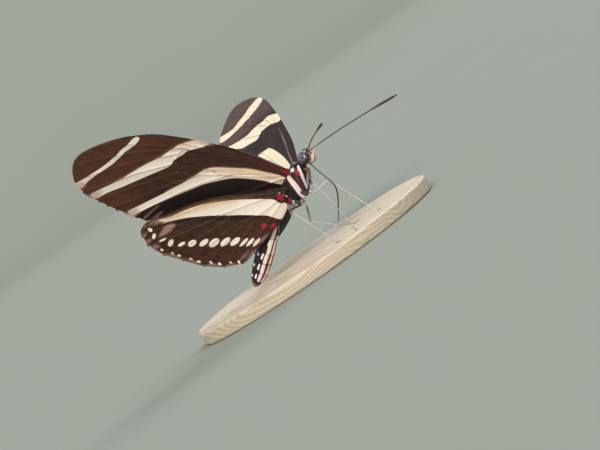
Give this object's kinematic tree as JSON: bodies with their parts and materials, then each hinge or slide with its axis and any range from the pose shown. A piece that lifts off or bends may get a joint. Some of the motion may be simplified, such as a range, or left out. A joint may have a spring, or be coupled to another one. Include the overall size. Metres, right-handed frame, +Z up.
{
  "type": "zebra longwing butterfly",
  "caption": "Still life-size zebra longwing butterfly standing on a flat round base, long narrow wings half open, black with cream stripes and small red spots.",
  "frame": {"origin": "centre of the display base's underside", "axes": "+Z up, +X the way the butterfly's head points along the base, +Y to the butterfly's left"},
  "size_m": [0.0617, 0.0577, 0.0466],
  "materials": {
    "body": "black-brown scales and short hair with cream stripes and spots",
    "wing": "dark brown scales with cream bands and small red spots, slight silky sheen",
    "eye": "dark glossy facetted eye with a mauve-grey sheen",
    "pale_scales": "cream to pinkish scales",
    "leg": "chitin with fine pale scales, darker femora",
    "horn": "dark chitin, satin",
    "base": "pale limed beech, satin"
  },
  "bodies": {
    "root": {"stand_base": "base", "thorax": "body", "head": "body", "abdomen": "body", "eye_left": "eye", "eye_right": "eye", "antenna_left": "horn", "antenna_right": "horn", "palp_left": "pale_scales", "palp_right": "pale_scales", "proboscis": "horn", "forewing_left": "wing", "forewing_right": "wing", "hindwing_left": "wing", "hindwing_right": "wing", "foreleg_left": "body", "foreleg_right": "body", "midleg_left": "leg", "midleg_right": "leg", "hindleg_left": "leg", "hindleg_right": "leg"}
  },
  "joints": []
}
